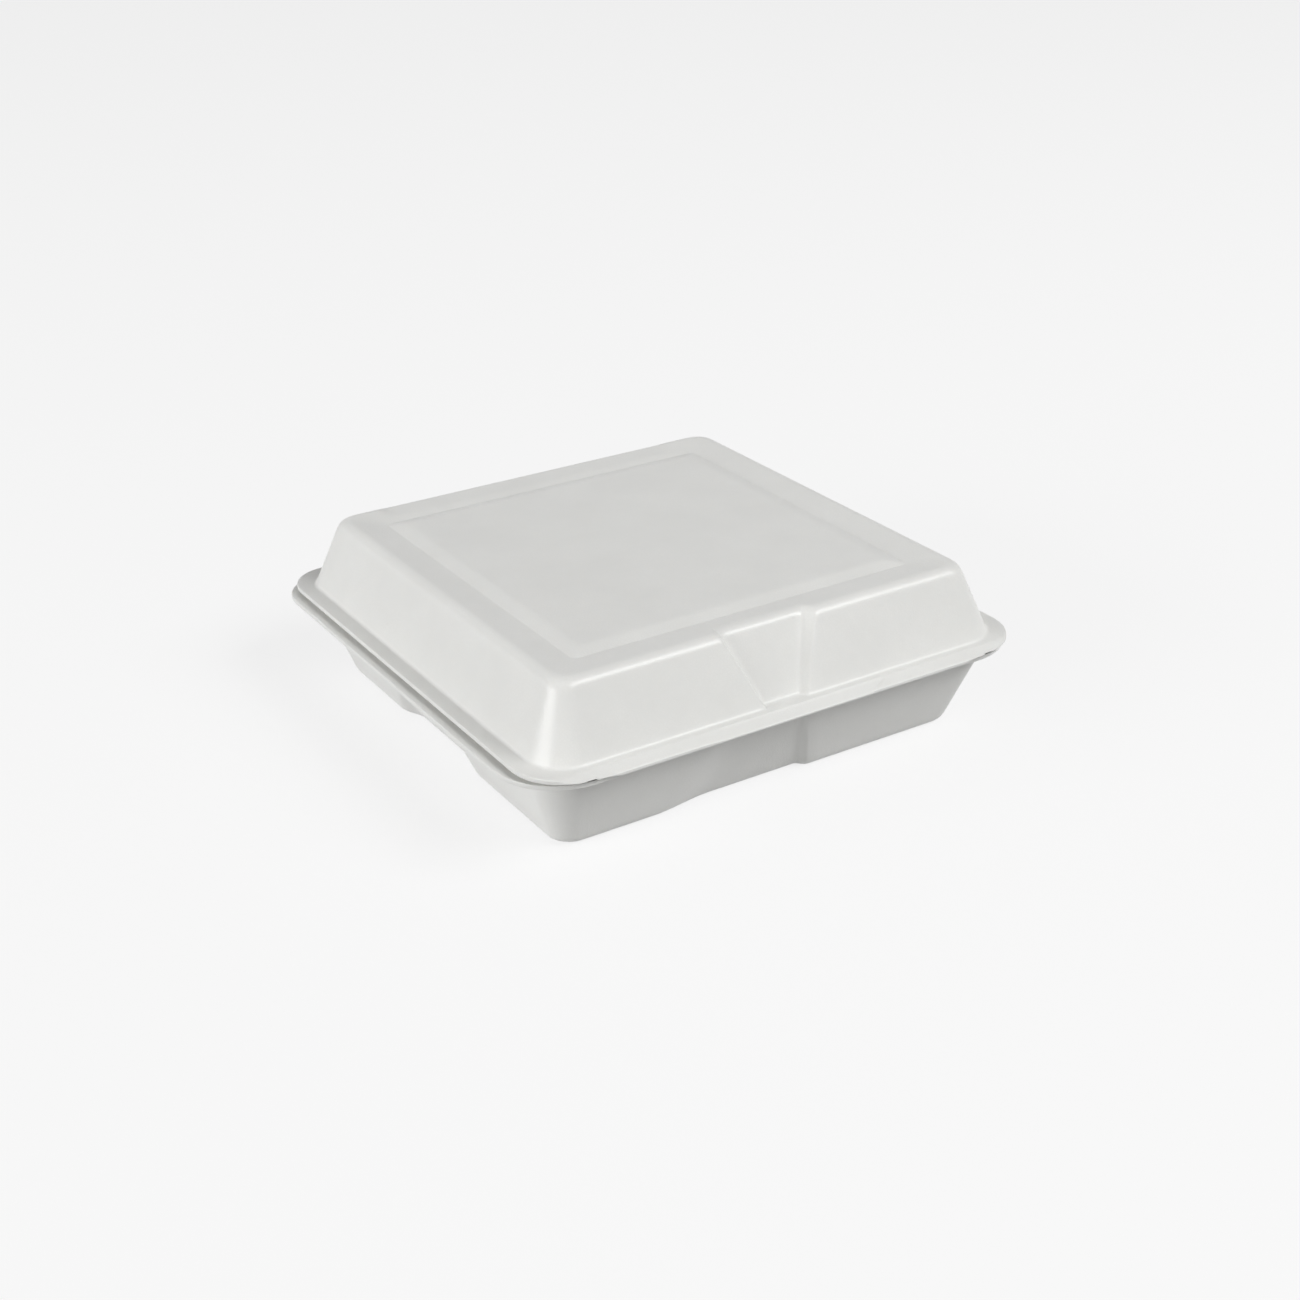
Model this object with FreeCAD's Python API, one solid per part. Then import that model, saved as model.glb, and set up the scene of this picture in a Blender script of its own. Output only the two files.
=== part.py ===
import FreeCAD, Part
import math
import os

from FreeCAD import Vector

# Hinged takeaway container formed from expanded polystyrene sheet, shown closed.
# Millimetres. X runs along the hinge, the opening side faces -Y, the hinge is at +Y.
# The origin is the middle of the closed container in plan, on the surface that it stands on.

# Heights
overall_height = 73.0
tray_depth = 41.0            # underside of the tray to the rim that the lid sits on
flange_drop = 1.5            # tray flange below that rim
sheet = 2.2                  # formed wall
flange_sheet = 2.0           # pressed flange

# Mouth and flanges, in plan
mouth_half = 110.3           # outer wall face at the rim, square, on both halves
mouth_radius = 17.5
bead_width = 1.6             # rim of the tray outside the wall face
tray_flange_side = 9.7       # each flange width is measured out from the wall face
tray_flange_back = 5.3
tray_front_radius = 28.0
tray_back_radius = 20.0
lid_flange_side = 6.0
lid_flange_front = 6.7
lid_flange_back = 4.5
lid_front_radius = 22.0
lid_back_radius = 17.0

# Tray
floor_inset_side = 14.2      # how far the walls lean in from rim to underside
floor_inset_end = 16.5
floor_radius = 9.0
floor_edge_rounding = 6.0
foot_width = 15.0            # flat ring that the tray stands on
foot_rise = 1.4              # raised middle of the floor
foot_slope = 3.0

# Lid
crest_inset = 13.0           # lean of the lid walls from rim to crest
crest_radius = 7.5
crest_rounding = 5.0
crest_land = 0.5             # level strip along the top of the crest
channel_width = 13.0         # from that strip in to the crease
channel_depth = 1.7
crease_radius = 3.0
panel_rise = 1.7             # top panel above the crease
panel_edge_width = 6.5       # sloping border of the panel
panel_edge_bend = 1.5        # half width of the strip where that border meets the flat top
dip_depth = 1.0              # the crest is lower along the back, between the two corners
dip_half_length = 78.0
dip_end_slope = 3.0

# Relief pressed into the walls, in X from the middle of each wall
relief_draft = 40.0          # degrees, slant of a relief's sides
lid_left_draft = 25.0        # steeper left side of the relief in the lid's front
side_relief_draft = 62.0
tray_ramp_draft = 80.0       # gentle left side of the relief in the tray's front
lid_relief_crest = (-25.5, 20.5)
lid_relief_rim = (-11.0, 7.5)
lid_relief_depth = (2.6, 4.4)      # at the rim, at the crest
tray_relief_floor = (-50.0, 20.5)
tray_relief_rim = (-30.0, 7.5)
tray_relief_depth = (3.6, 2.2)     # at the floor, at the rim
side_relief_floor = (-35.0, 35.0)
side_relief_rim = (-14.0, 14.0)
side_relief_depth = (4.5, 1.0)     # at the floor, at the rim
side_relief_shift = 6.5            # towards the hinge

# Front edge of the lid: it slopes down into a lip that hooks over the tray's flange
bevel_start = 2.0            # level part of the flange, out from the wall face
bevel_drop = 2.4
lip_thickness = 1.65
lip_drop = 1.8               # bottom of the lip below the rim
lip_root = 0.9               # depth of the gusset inside the lip
lip_half_length = 92.0
lip_end_slope = 3.0
lip_clearance = 0.4          # lip to tray flange, and gusset to tray rim
tab_span = (-41.0, 35.0)     # pull tab, at the front edge
tab_span_at_wall = (-38.0, 45.0)
tab_press = 0.5

# Living hinge
hinge_back = 6.75            # fold line behind the wall face
hinge_half_length = 96.0
hinge_web = 0.8
hinge_root = 1.0             # where the tray's flange starts to rise to the fold line
hinge_gap = 0.05             # each half stops this far short of the fold line

smallest_radius = 0.5
overcut = 5.0                # how far a cutting body reaches past what it cuts
wedge_margin = 1.0           # how far a wedge reaches behind the pressed-in wall
level_tolerance = 0.01       # an edge this close to a height lies at it

# Places worked out from the sizes above
rim_z = tray_depth
lid_height = overall_height - rim_z
hinge_y = mouth_half + hinge_back
lid_front_y = -(mouth_half + lid_flange_front)
lip_inner_y = lid_front_y + lip_thickness
tray_front_y = lip_inner_y + lip_clearance
crest_half = mouth_half - crest_inset
wall_lean = math.atan2(crest_inset, lid_height)
crest_top_half = crest_half - crest_rounding * (1.0 - math.sin(wall_lean)) / math.cos(wall_lean)
crease_half = crest_top_half - crest_land - channel_width
crease_z = overall_height - channel_depth


def rounded_outline(half_x, y_front, y_back, z, front_radius, back_radius):
    """Closed wire of a rectangle with round corners, in a level plane."""
    corners = (
        (half_x - back_radius, y_back - back_radius, back_radius, 0.0),
        (-half_x + back_radius, y_back - back_radius, back_radius, 90.0),
        (-half_x + front_radius, y_front + front_radius, front_radius, 180.0),
        (half_x - front_radius, y_front + front_radius, front_radius, 270.0),
    )
    arcs = []
    for centre_x, centre_y, radius, start in corners:
        points = []
        for turn in (start, start + 45.0, start + 90.0):
            angle = math.radians(turn)
            points.append(Vector(centre_x + radius * math.cos(angle), centre_y + radius * math.sin(angle), z))
        arcs.append(Part.Arc(*points).toShape())
    edges = []
    for arc, following in zip(arcs, arcs[1:] + arcs[:1]):
        edges.append(arc)
        edges.append(Part.makeLine(arc.Vertexes[-1].Point, following.Vertexes[0].Point))
    return Part.Wire(edges)


def square_outline(half_x, half_y, z, radius):
    """Round-cornered outline that is centred on the origin."""
    return rounded_outline(half_x, -half_y, half_y, z, radius, radius)


def straight_loft(wires):
    """Solid with straight sides between level outlines."""
    return Part.makeLoft(wires, True, True)


def plate(half_x, y_front, y_back, z_low, thickness, front_radius, back_radius):
    """Flat plate with round corners."""
    outline = rounded_outline(half_x, y_front, y_back, z_low, front_radius, back_radius)
    return Part.Face(outline).extrude(Vector(0, 0, thickness))


def prism_x(points_yz, x_low, x_high):
    """Solid drawn in the YZ plane and pulled along X."""
    points = [Vector(x_low, y, z) for y, z in points_yz]
    wire = Part.makePolygon(points + points[:1])
    return Part.Face(wire).extrude(Vector(x_high - x_low, 0, 0))


def between(first, first_at, second, second_at, here):
    """Straight-line value at a place, from its values at two places."""
    return first + (second - first) * (here - first_at) / (second_at - first_at)


def inner_radius(radius, offset):
    """Radius of a rounded edge on the inside of the sheet."""
    return max(radius - offset, smallest_radius)


def rounded_rim(solid, z, radius):
    """Rounds the closed run of edges that lies at height z."""
    edges = []
    for edge in solid.Edges:
        if all(abs(vertex.Z - z) < level_tolerance for vertex in edge.Vertexes):
            edges.append(edge)
    return solid.makeFillet(radius, edges)


def keystone(low_span, low_z, high_span, high_z, wall_y, depths, drafts, offset):
    """Wedge that marks where the front wall is pressed in, with slanting sides.

    The spans are where its sides meet the wall face, at the two heights. The offset moves its sides
    out by that much, so that the sheet keeps its thickness there.
    """
    lean = (wall_y[1] - wall_y[0]) / (high_z - low_z)
    slants = [math.tan(math.radians(draft)) for draft in drafts]
    grows = [offset / math.cos(math.radians(draft)) for draft in drafts]
    wires = []
    thickness = offset * math.hypot(1.0, lean)
    for z in (low_z - overcut, high_z + overcut):
        left = between(low_span[0], low_z, high_span[0], high_z, z) - grows[0]
        right = between(low_span[1], low_z, high_span[1], high_z, z) + grows[1]
        y = -between(wall_y[0], low_z, wall_y[1], high_z, z)
        reach = between(depths[0], low_z, depths[1], high_z, z) + thickness + wedge_margin
        points = [
            Vector(left - overcut * slants[0], y - overcut, z),
            Vector(right + overcut * slants[1], y - overcut, z),
            Vector(right - reach * slants[1], y + reach, z),
            Vector(left + reach * slants[0], y + reach, z),
        ]
        wires.append(Part.makePolygon(points + points[:1]))
    return straight_loft(wires)


def pressed_in(main, pushed, wedges):
    """The main form with its walls moved back to the pushed form inside the wedges."""
    region = wedges[0].multiFuse(wedges[1:]) if len(wedges) > 1 else wedges[0]
    kept = main.cut(region)
    moved = pushed.common(region)
    return kept.fuse(moved).removeSplitter()


def tray_body(offset, floor_push, rim_push):
    """Leaning tray walls with a rounded floor edge, offset inwards.

    The pushes move the side walls and the end walls further in, at the floor and at the rim.
    """
    slope_side = floor_inset_side / rim_z
    slope_end = floor_inset_end / rim_z
    wall_side = offset * math.hypot(1.0, slope_side)
    wall_end = offset * math.hypot(1.0, slope_end)
    top_z = rim_z + (overcut if offset else 0.0)
    wires = []
    for z in (offset, top_z):
        push_side = between(floor_push[0], 0.0, rim_push[0], rim_z, z)
        push_end = between(floor_push[1], 0.0, rim_push[1], rim_z, z)
        half_x = mouth_half - wall_side - slope_side * (rim_z - z) - push_side
        half_y = mouth_half - wall_end - slope_end * (rim_z - z) - push_end
        radius = between(floor_radius, 0.0, mouth_radius, rim_z, z)
        wires.append(square_outline(half_x, half_y, z, inner_radius(radius, offset)))
    return rounded_rim(straight_loft(wires), offset, inner_radius(floor_edge_rounding, offset))


def tray_form(offset):
    """Solid whose skin is the tray's outer face, offset inwards by a sheet for the inside."""
    main = tray_body(offset, (0.0, 0.0), (0.0, 0.0))
    pushed = tray_body(
        offset,
        (side_relief_depth[0], tray_relief_depth[0]),
        (side_relief_depth[1], tray_relief_depth[1]),
    )
    end_faces = (mouth_half - floor_inset_end, mouth_half)
    side_faces = (mouth_half - floor_inset_side, mouth_half)
    front_drafts = (tray_ramp_draft, relief_draft)
    side_drafts = (side_relief_draft, side_relief_draft)
    wedges = [keystone(
        tray_relief_floor, 0.0, tray_relief_rim, rim_z, end_faces, tray_relief_depth, front_drafts, offset,
    )]
    for turn, shift in ((90.0, side_relief_shift), (270.0, -side_relief_shift)):
        floor_span = [end + shift for end in side_relief_floor]
        rim_span = [end + shift for end in side_relief_rim]
        wedge = keystone(floor_span, 0.0, rim_span, rim_z, side_faces, side_relief_depth, side_drafts, offset)
        wedge.rotate(Vector(0, 0, 0), Vector(0, 0, 1), turn)
        wedges.append(wedge)
    form = pressed_in(main, pushed, wedges)
    return form.cut(raised_floor(offset))


def raised_floor(offset):
    """Shallow hollow under the tray, inside the ring that it stands on."""
    half_x = mouth_half - floor_inset_side - foot_width
    half_y = mouth_half - floor_inset_end - foot_width
    wires = []
    for grow, z in ((foot_slope, offset - foot_rise), (-foot_slope, offset + foot_rise)):
        wires.append(square_outline(half_x + grow, half_y + grow, z, floor_radius + grow))
    return straight_loft(wires)


def lid_body(offset, rim_push, crest_push):
    """Leaning lid walls with a rounded crest, offset inwards, with the front wall pushed further in."""
    slope = crest_inset / lid_height
    wall = offset * math.hypot(1.0, slope)
    bottom_z = rim_z - (overcut if offset else 0.0)
    top_z = overall_height - offset
    outlines = []
    for z in (bottom_z, top_z):
        half = mouth_half - wall - slope * (z - rim_z)
        push = between(rim_push, rim_z, crest_push, overall_height, z)
        radius = inner_radius(between(mouth_radius, rim_z, crest_radius, overall_height, z), offset)
        outlines.append(rounded_outline(half, push - half, half, z, radius, radius))
    return rounded_rim(straight_loft(outlines), top_z, inner_radius(crest_rounding, offset))


def lid_form(offset):
    """Solid whose skin is the lid's outer face, offset inwards by a sheet for the inside."""
    main = lid_body(offset, 0.0, 0.0)
    pushed = lid_body(offset, *lid_relief_depth)
    wall_faces = (mouth_half, crest_half)
    drafts = (lid_left_draft, relief_draft)
    wedge = keystone(
        lid_relief_rim, rim_z, lid_relief_crest, overall_height, wall_faces, lid_relief_depth, drafts, offset,
    )
    form = pressed_in(main, pushed, [wedge])
    dished = form.cut(channel_cutter(offset)).cut(dip_cutter(offset))
    return dished.fuse(panel(offset)).removeSplitter()


def channel_cutter(offset):
    """Shallow square dish that leaves the crest standing."""
    slope = channel_depth / channel_width
    low_z = crease_z - offset
    reach = channel_width + overcut
    outer_half = crease_half + reach
    return straight_loft([
        square_outline(crease_half, crease_half, low_z, crease_radius),
        square_outline(outer_half, outer_half, low_z + reach * slope, crest_radius + overcut),
    ])


def dip_cutter(offset):
    """Lowers the crest along the back, with slanting ends."""
    low_z = overall_height - dip_depth - offset
    high_half = dip_half_length + dip_end_slope * overcut / dip_depth
    corners = [
        Vector(-dip_half_length, crease_half, low_z),
        Vector(dip_half_length, crease_half, low_z),
        Vector(high_half, crease_half, low_z + overcut),
        Vector(-high_half, crease_half, low_z + overcut),
    ]
    return Part.Face(Part.makePolygon(corners + corners[:1])).extrude(Vector(0, mouth_half, 0))


def panel(offset):
    """Square panel with a sloping border, inside the crease."""
    low_z = crease_z - offset
    top_z = low_z + panel_rise
    bend_drop = panel_edge_bend * panel_rise / panel_edge_width
    bend_half = crease_half - panel_edge_width + panel_edge_bend
    flat_half = crease_half - panel_edge_width - panel_edge_bend
    return straight_loft([
        square_outline(crease_half, crease_half, low_z, crease_radius),
        square_outline(bend_half, bend_half, top_z - bend_drop, crease_radius),
        square_outline(flat_half, flat_half, top_z, crease_radius),
    ])


def tray_shell():
    """Tray with its rim, flange and half of the living hinge."""
    flange_top = rim_z - flange_drop
    flange_low = flange_top - flange_sheet
    flange_back_y = mouth_half + tray_flange_back
    flange = plate(
        mouth_half + tray_flange_side, tray_front_y, flange_back_y,
        flange_low, flange_sheet, tray_front_radius, tray_back_radius,
    )
    bead_half = mouth_half + bead_width
    bead_radius = mouth_radius + bead_width
    bead_height = flange_sheet + flange_drop
    bead = plate(bead_half, -bead_half, bead_half, flange_low, bead_height, bead_radius, bead_radius)
    web_end_y = hinge_y - hinge_gap
    web = prism_x(
        [(mouth_half, flange_top), (mouth_half, flange_low), (flange_back_y, flange_low),
         (web_end_y, rim_z - hinge_web), (web_end_y, rim_z), (flange_back_y - hinge_root, flange_top)],
        -hinge_half_length, hinge_half_length,
    )
    solid = tray_form(0.0).multiFuse([flange, bead, web])
    return solid.cut(tray_form(sheet)).removeSplitter()


def lid_shell():
    """Lid with its flange, front lip, pull tab and half of the living hinge."""
    flange_top = rim_z + flange_sheet
    flange_back_y = mouth_half + lid_flange_back
    flange = plate(
        mouth_half + lid_flange_side, lid_front_y, flange_back_y,
        rim_z, flange_sheet, lid_front_radius, lid_back_radius,
    )
    web_end_y = hinge_y - hinge_gap
    web = prism_x(
        [(mouth_half, rim_z), (web_end_y, rim_z), (web_end_y, rim_z + hinge_web),
         (flange_back_y, flange_top), (mouth_half, flange_top)],
        -hinge_half_length, hinge_half_length,
    )
    solid = lid_form(0.0).multiFuse([flange, web, front_lip()])
    for cutter in (lid_form(sheet), bevel_cutter(), tab_cutter()):
        solid = solid.cut(cutter)
    return solid.removeSplitter()


def front_lip():
    """Strip along the front edge, with slanted ends and a gusset behind it."""
    bottom_z = rim_z - lip_drop
    bottom_half = lip_half_length - lip_end_slope
    corners = [
        Vector(-lip_half_length, lid_front_y, rim_z),
        Vector(-bottom_half, lid_front_y, bottom_z),
        Vector(bottom_half, lid_front_y, bottom_z),
        Vector(lip_half_length, lid_front_y, rim_z),
    ]
    strip = Part.Face(Part.makePolygon(corners + corners[:1])).extrude(Vector(0, lip_thickness, 0))
    gusset_y = -(mouth_half + bead_width + lip_clearance)
    gusset = prism_x(
        [(gusset_y, rim_z), (lip_inner_y, rim_z), (lip_inner_y, rim_z - lip_root)],
        -bottom_half, bottom_half,
    )
    return strip.fuse(gusset)


def front_cutter(press, left_at_edge, right_at_edge, left_at_wall, right_at_wall):
    """Wedge above the sloping front of the flange, lowered by press, between two ends that may slant."""
    start_y = -(mouth_half + bevel_start)
    end_y = lid_front_y - overcut
    start_z = rim_z + flange_sheet - press
    end_z = between(start_z, start_y, start_z - bevel_drop, lid_front_y, end_y)
    left_end = between(left_at_wall, start_y, left_at_edge, lid_front_y, end_y)
    right_end = between(right_at_wall, start_y, right_at_edge, lid_front_y, end_y)
    above_z = rim_z + flange_sheet + overcut
    low_face = [
        Vector(left_at_wall, start_y, start_z),
        Vector(right_at_wall, start_y, start_z),
        Vector(right_end, end_y, end_z),
        Vector(left_end, end_y, end_z),
    ]
    high_face = [Vector(corner.x, corner.y, above_z) for corner in low_face]
    wires = [Part.makePolygon(corners + corners[:1]) for corners in (low_face, high_face)]
    return straight_loft(wires)


def bevel_cutter():
    """Slopes the whole front edge of the lid's flange."""
    half = mouth_half + lid_flange_side + overcut
    return front_cutter(0.0, -half, half, -half, half)


def tab_cutter():
    """Presses the pull tab a little deeper into the sloping edge."""
    return front_cutter(tab_press, *tab_span, *tab_span_at_wall)


def main():
    """Builds both halves and writes one file for each."""
    os.makedirs("parts", exist_ok=True)
    nodes = {
        "base_tray": tray_shell(),
        "hinged_lid": lid_shell(),
    }
    for name, shape in nodes.items():
        print(name, "valid", shape.isValid(), "solids", len(shape.Solids), "mm3", round(shape.Volume))
        shape.exportStep("parts/" + name + ".step")


main()
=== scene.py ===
import logging
import math
from dataclasses import dataclass, field, replace
from enum import Enum, IntEnum
from typing import Callable, Sequence

import bmesh
import bpy
import numpy as np
from mathutils import Matrix, Vector


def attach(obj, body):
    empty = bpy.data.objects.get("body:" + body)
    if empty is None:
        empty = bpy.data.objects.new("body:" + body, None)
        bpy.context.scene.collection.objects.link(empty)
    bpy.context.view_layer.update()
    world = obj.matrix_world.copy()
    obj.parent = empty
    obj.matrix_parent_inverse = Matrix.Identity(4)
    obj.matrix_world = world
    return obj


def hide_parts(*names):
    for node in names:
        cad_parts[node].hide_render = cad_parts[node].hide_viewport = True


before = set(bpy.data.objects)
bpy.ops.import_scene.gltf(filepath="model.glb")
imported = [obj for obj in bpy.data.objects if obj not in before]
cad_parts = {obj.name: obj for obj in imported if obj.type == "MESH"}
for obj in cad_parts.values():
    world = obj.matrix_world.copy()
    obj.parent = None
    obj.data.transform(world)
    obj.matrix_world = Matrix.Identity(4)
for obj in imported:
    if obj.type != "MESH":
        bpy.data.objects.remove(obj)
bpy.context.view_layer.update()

# Takeaway container with a hinged lid, formed from one sheet of expanded polystyrene foam.
# Sizes are in millimetres and turn into metres where a mesh is made. X runs along the hinge,
# the opening side faces -Y, Z is up, and the container stands on Z = 0.

MM = 0.001
SAME_POINT_MM = 0.002            # points nearer than this are one point
IMAGE_PIXELS = 1300.0            # side of the square picture

log = logging.getLogger("scene")


class Side(Enum):
    """Straight sides of a ring, in the order that the ring runs through them."""

    RIGHT = 0
    BACK = 1
    LEFT = 2
    FRONT = 3


class Run(IntEnum):
    """Runs of a side, between two of its mesh lines, that a relief or the pull tab shapes."""

    TAB_LEFT = 3
    RELIEF_LEFT = 5
    RELIEF_FACE = 6
    RELIEF_RIGHT = 7
    TAB_RIGHT = 9


class Half(Enum):
    """The two halves of the container, which are also the names of their bodies."""

    TRAY = "tray"
    LID = "lid"


# Colour and node helpers


def linear(hex_colour: str) -> tuple[float, float, float, float]:
    """Turns an sRGB hex colour into the linear colour that a shader takes.

    Args:
        hex_colour: Six hex digits.

    Returns:
        Linear red, green, blue and an alpha of one.
    """
    values = [int(hex_colour[i:i + 2], 16) / 255.0 for i in (0, 2, 4)]
    red, green, blue = (v / 12.92 if v <= 0.04045 else ((v + 0.055) / 1.055) ** 2.4 for v in values)
    return red, green, blue, 1.0


def add_node(tree: bpy.types.NodeTree, kind: str, settings: dict[str, object] | None = None,
             **inputs: object) -> bpy.types.Node:
    """Adds a node with its settings, its constant inputs and its links.

    Args:
        tree: Node tree that the node goes into.
        kind: Blender's class name of the node.
        settings: Attributes of the node to set.
        inputs: Value or output socket for each input. An underscore stands for a space, and
            a name such as in_1 stands for the input at that place.

    Returns:
        The new node.
    """
    node = tree.nodes.new(kind)
    for name, value in (settings or {}).items():
        setattr(node, name, value)
    for name, value in inputs.items():
        place = int(name[3:]) if name.startswith("in_") else name.replace("_", " ")
        socket = node.inputs[place]
        if isinstance(value, bpy.types.NodeSocket):
            tree.links.new(value, socket)
        else:
            socket.default_value = value
    return node


def per_metre(size_mm: float) -> float:
    """Texture scale at which one cell of a pattern has that real size."""
    return 1.0 / (size_mm * MM)


def background_share(tree: bpy.types.NodeTree) -> bpy.types.NodeSocket:
    """Adds a test for the rays that show the background, seen plainly, mirrored or through glass.

    Args:
        tree: Node tree that the test goes into.

    Returns:
        Output that is 1 for those rays and 0 for the others.
    """
    rays = add_node(tree, "ShaderNodeLightPath")
    plain = add_node(tree, "ShaderNodeMath", {"operation": "MAXIMUM"},
                     in_0=rays.outputs["Is Camera Ray"], in_1=rays.outputs["Is Glossy Ray"])
    every = add_node(tree, "ShaderNodeMath", {"operation": "MAXIMUM"},
                     in_0=plain.outputs["Value"], in_1=rays.outputs["Is Transmission Ray"])
    return every.outputs["Value"]


# Finishes


@dataclass(frozen=True)
class FoamSkin:
    """Expanded polystyrene foam sheet, extruded and then pressed hot between two moulds.

    The mould irons the cells of the surface flat and closed, so the eye gets a white satin skin:
    a soft wide highlight on every rounded edge, hardly any texture, and only a faint trace of the
    flattened cells and of uneven stretching where the walls were drawn.
    """

    name: str = "eps_foam_pressed_skin"
    colour: str = "F0F0ED"
    stretched_colour: str = "ECECE9"
    cell_colour: str = "ECECE9"
    cell_mm: float = 1.3             # flattened foam cells are about a millimetre across
    mottle_mm: float = 26.0          # uneven stretching of the sheet
    skin_mm: float = 7.0             # slight waviness that a mould leaves in soft foam
    cell_relief_mm: float = 0.02
    wave_relief_mm: float = 0.10
    cell_edge: float = 0.22          # distance from a cell's edge over which the edge shows
    cell_tint: float = 0.55          # share of the edge colour right on an edge
    roughness: float = 0.32
    roughness_spread: float = 0.04
    ior: float = 1.49
    subsurface: float = 0.06
    subsurface_mm: float = 1.5

    def build(self) -> bpy.types.Material:
        """Makes the material.

        Returns:
            Material for every foam surface.
        """
        material = bpy.data.materials.new(self.name)
        material.use_nodes = True
        tree = material.node_tree
        tree.nodes.clear()
        place = add_node(tree, "ShaderNodeTexCoord").outputs["Object"]
        mottle = add_node(tree, "ShaderNodeTexNoise", {"noise_dimensions": "3D"},
                          Vector=place, Scale=per_metre(self.mottle_mm), Detail=3.0, Roughness=0.5)
        waves = add_node(tree, "ShaderNodeTexNoise", {"noise_dimensions": "3D"},
                         Vector=place, Scale=per_metre(self.skin_mm), Detail=2.0, Roughness=0.45)
        cells = add_node(tree, "ShaderNodeTexVoronoi", {"feature": "DISTANCE_TO_EDGE"},
                         Vector=place, Scale=per_metre(self.cell_mm), Randomness=1.0)
        cell_walls = add_node(tree, "ShaderNodeMapRange", None, Value=cells.outputs["Distance"],
                              From_Min=0.0, From_Max=self.cell_edge, To_Min=0.0, To_Max=1.0)
        stretch = add_node(tree, "ShaderNodeMapRange", None, Value=mottle.outputs["Fac"],
                           From_Min=0.35, From_Max=0.65, To_Min=0.0, To_Max=1.0)
        drawn = add_node(tree, "ShaderNodeMix", {"data_type": "RGBA"}, Factor=stretch.outputs["Result"],
                         in_6=linear(self.colour), in_7=linear(self.stretched_colour))
        cell_share = add_node(tree, "ShaderNodeMapRange", None, Value=cell_walls.outputs["Result"],
                              From_Min=0.0, From_Max=1.0, To_Min=self.cell_tint, To_Max=0.0)
        colour = add_node(tree, "ShaderNodeMix", {"data_type": "RGBA"}, Factor=cell_share.outputs["Result"],
                          in_6=drawn.outputs["Result"], in_7=linear(self.cell_colour))
        roughness = add_node(tree, "ShaderNodeMapRange", None, Value=waves.outputs["Fac"],
                             From_Min=0.3, From_Max=0.7, To_Min=self.roughness - self.roughness_spread * 0.5,
                             To_Max=self.roughness + self.roughness_spread * 0.5)
        wave_bump = add_node(tree, "ShaderNodeBump", None, Strength=1.0, Distance=self.wave_relief_mm * MM,
                             Height=waves.outputs["Fac"])
        cell_bump = add_node(tree, "ShaderNodeBump", None, Strength=1.0, Distance=self.cell_relief_mm * MM,
                             Height=cell_walls.outputs["Result"], Normal=wave_bump.outputs["Normal"])
        shader = add_node(tree, "ShaderNodeBsdfPrincipled", None, Base_Color=colour.outputs["Result"],
                          Roughness=roughness.outputs["Result"], IOR=self.ior,
                          Subsurface_Weight=self.subsurface, Subsurface_Scale=self.subsurface_mm * MM,
                          Subsurface_Radius=(1.0, 0.9, 0.8), Normal=cell_bump.outputs["Normal"])
        add_node(tree, "ShaderNodeOutputMaterial", None, Surface=shader.outputs["BSDF"])
        return material


@dataclass(frozen=True)
class StudioBoard:
    """Painted matt board under and behind the container.

    It gives the eye an even pale ground with the container's soft shadow on it.
    """

    name: str = "studio_board_matt_paint"
    colour: str = "F0F0F0"
    bounce_colour: str = "AEAEAE"    # darker towards the container, so that its underside stays in shade
    glow_colour: str = "FFFFFF"
    paint_mm: float = 60.0
    roughness: tuple[float, float] = (0.85, 0.95)
    glow: float = 0.80               # share of the even glow where the board is seen as background

    def build(self) -> bpy.types.Material:
        """Makes the material.

        Returns:
            Material for the floor.
        """
        material = bpy.data.materials.new(self.name)
        material.use_nodes = True
        tree = material.node_tree
        tree.nodes.clear()
        place = add_node(tree, "ShaderNodeTexCoord").outputs["Object"]
        paint = add_node(tree, "ShaderNodeTexNoise", {"noise_dimensions": "3D"},
                         Vector=place, Scale=per_metre(self.paint_mm), Detail=2.0)
        roughness = add_node(tree, "ShaderNodeMapRange", None, Value=paint.outputs["Fac"],
                             From_Min=0.0, From_Max=1.0,
                             To_Min=self.roughness[0], To_Max=self.roughness[1])
        seen = background_share(tree)
        colour = add_node(tree, "ShaderNodeMix", {"data_type": "RGBA"}, Factor=seen,
                          in_6=linear(self.bounce_colour), in_7=linear(self.colour))
        board = add_node(tree, "ShaderNodeBsdfPrincipled", None, Base_Color=colour.outputs["Result"],
                         Roughness=roughness.outputs["Result"])
        pale = add_node(tree, "ShaderNodeEmission", None, Color=linear(self.glow_colour), Strength=1.0)
        share = add_node(tree, "ShaderNodeMath", {"operation": "MULTIPLY"}, in_0=seen, in_1=self.glow)
        mixed = add_node(tree, "ShaderNodeMixShader", None, Fac=share.outputs["Value"],
                         in_1=board.outputs["BSDF"], in_2=pale.outputs["Emission"])
        add_node(tree, "ShaderNodeOutputMaterial", None, Surface=mixed.outputs["Shader"])
        return material


# Rings: every surface of the container is a stack of round-cornered rings


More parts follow.
